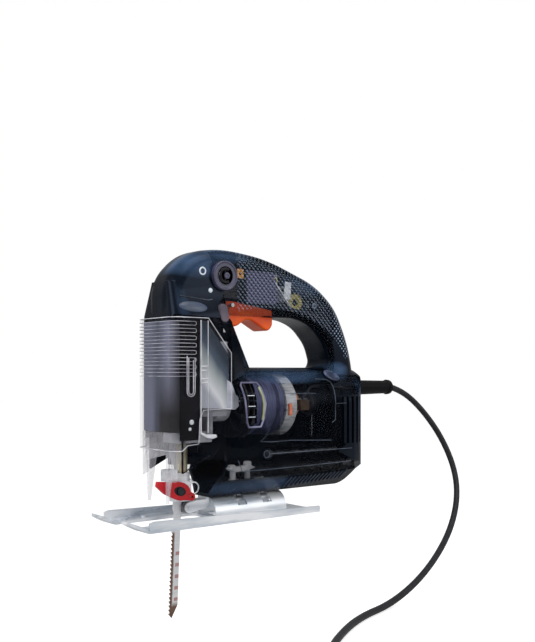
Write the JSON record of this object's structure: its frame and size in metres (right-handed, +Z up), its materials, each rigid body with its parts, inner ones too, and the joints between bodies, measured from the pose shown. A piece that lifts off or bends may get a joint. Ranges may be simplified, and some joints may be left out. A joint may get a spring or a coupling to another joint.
{
  "type": "jigsaw power tool",
  "caption": "Corded jigsaw with a see-through housing, D-handle, blade clamp, sliding dust guard and a tilting steel shoe.",
  "frame": {"origin": "where the blade crosses the plane of the shoe's sole", "axes": "+X back towards the cord, -X the cutting direction, +Y the tool's right side, +Z up along the blade and the plunger"},
  "size_m": [0.3399, 0.2786, 0.2732],
  "materials": {
    "smoked_shell": "glossy see-through",
    "clear_plastic": "clear",
    "steel": "bright",
    "dark_steel": "oiled",
    "cast_alloy": "die cast",
    "brass": "satin",
    "copper": "enamelled wire",
    "red_plastic": "glossy",
    "orange_plastic": "glossy",
    "black_plastic": "matt",
    "grey_plastic": "matt",
    "black_rubber": "matt",
    "cord_rubber": "matt",
    "wire_red": "matt",
    "blade_white": "satin",
    "yellow_coil": "matt",
    "carbon": "matt"
  },
  "bodies": {
    "housing": {"housing_left": "smoked_shell", "housing_right": "smoked_shell", "housing_screws": "dark_steel", "finger_guard": "clear_plastic", "gear_axle": "steel", "gear_case": "cast_alloy", "gear_case_screws": "steel", "plunger_bushes": "brass", "roller_bracket": "steel", "roller_pin": "steel", "tilt_plate": "steel", "tilt_screws": "dark_steel", "tilt_washers": "steel", "field_stack": "dark_steel", "field_coils": "copper", "motor_bearings": "steel", "brush_holders": "brass", "carbon_brushes": "carbon", "brush_springs": "steel", "fan_baffle": "black_plastic", "trigger_pin": "steel", "trigger_spring": "steel", "trigger_switch": "black_plastic", "brass_terminal": "brass", "speed_module": "grey_plastic", "capacitor": "grey_plastic", "choke_coil": "yellow_coil", "lead_wires": "wire_red", "hex_key": "dark_steel", "cord_guard": "black_rubber", "cord_inside": "cord_rubber", "cord_clamp": "black_plastic", "cord_lead": "cord_rubber", "cord_coil": "cord_rubber", "cord_tail": "cord_rubber", "cord_tie": "black_plastic", "plug": "black_rubber", "plug_pins": "steel"},
    "plunger": {"plunger": "steel", "yoke": "dark_steel", "blade_clamp": "dark_steel", "clamp_pin": "steel", "wire_spring": "steel", "blade": "blade_white"},
    "clamp_lever": {"clamp_lever": "red_plastic"},
    "gear": {"drive_gear": "steel", "crank_pin": "steel"},
    "armature": {"armature_shaft": "steel", "armature_core": "dark_steel", "armature_windings": "copper", "commutator": "copper", "fan": "black_plastic"},
    "blade_roller": {"blade_roller": "steel"},
    "trigger": {"trigger": "orange_plastic"},
    "lock_button": {"lock_button": "grey_plastic"},
    "speed_dial": {"speed_dial": "black_plastic"},
    "dust_guard": {"dust_guard": "clear_plastic"},
    "shoe": {"shoe": "steel", "tilt_saddle": "steel"}
  },
  "joints": [
    {"name": "plunger_slide", "type": "slide", "parent": "housing", "child": "plunger", "axis": [0, 0, 1], "range_m": [0, 0.018]},
    {"name": "clamp_lever_pivot", "type": "hinge", "parent": "plunger", "child": "clamp_lever", "pos_m": [-0.004, 0, 0.0234], "axis": [0, -1, 0], "range_deg": [0, 50], "stiffness_Nm_per_rad": 0.01},
    {"name": "armature_spin", "type": "hinge", "parent": "housing", "child": "armature", "pos_m": [0, 0, 0.084], "axis": [1, 0, 0], "continuous": true},
    {"name": "gear_spin", "type": "hinge", "parent": "housing", "child": "gear", "pos_m": [0, 0, 0.10462], "axis": [1, 0, 0], "continuous": true},
    {"name": "roller_spin", "type": "hinge", "parent": "housing", "child": "blade_roller", "pos_m": [0.0076, 0, 0.0098], "axis": [0, 1, 0], "continuous": true},
    {"name": "trigger_pivot", "type": "hinge", "parent": "housing", "child": "trigger", "pos_m": [0.041, 0, 0.1605], "axis": [0, -1, 0], "range_deg": [0, 8], "stiffness_Nm_per_rad": 1.2, "springref_deg": -5.73, "deforming": ["trigger_spring"]},
    {"name": "lock_press", "type": "slide", "parent": "housing", "child": "lock_button", "axis": [0, 1, 0], "range_m": [0, 0.003], "stiffness_N_per_m": 600, "springref_m": -0.001},
    {"name": "dial_turn", "type": "hinge", "parent": "housing", "child": "speed_dial", "pos_m": [0.0299, 0, 0.1816], "axis": [0, 1, 0], "range_deg": [0, 270]},
    {"name": "guard_slide", "type": "slide", "parent": "housing", "child": "dust_guard", "axis": [0, 0, 1], "range_m": [0, 0.028]},
    {"name": "shoe_tilt", "type": "hinge", "parent": "housing", "child": "shoe", "pos_m": [0.03, 0, 0.003], "axis": [1, 0, 0], "range_deg": [-45, 45]}
  ],
  "couplings": [
    {"joint": "gear_spin", "follows": "armature_spin", "ratio": -0.19565}
  ]
}
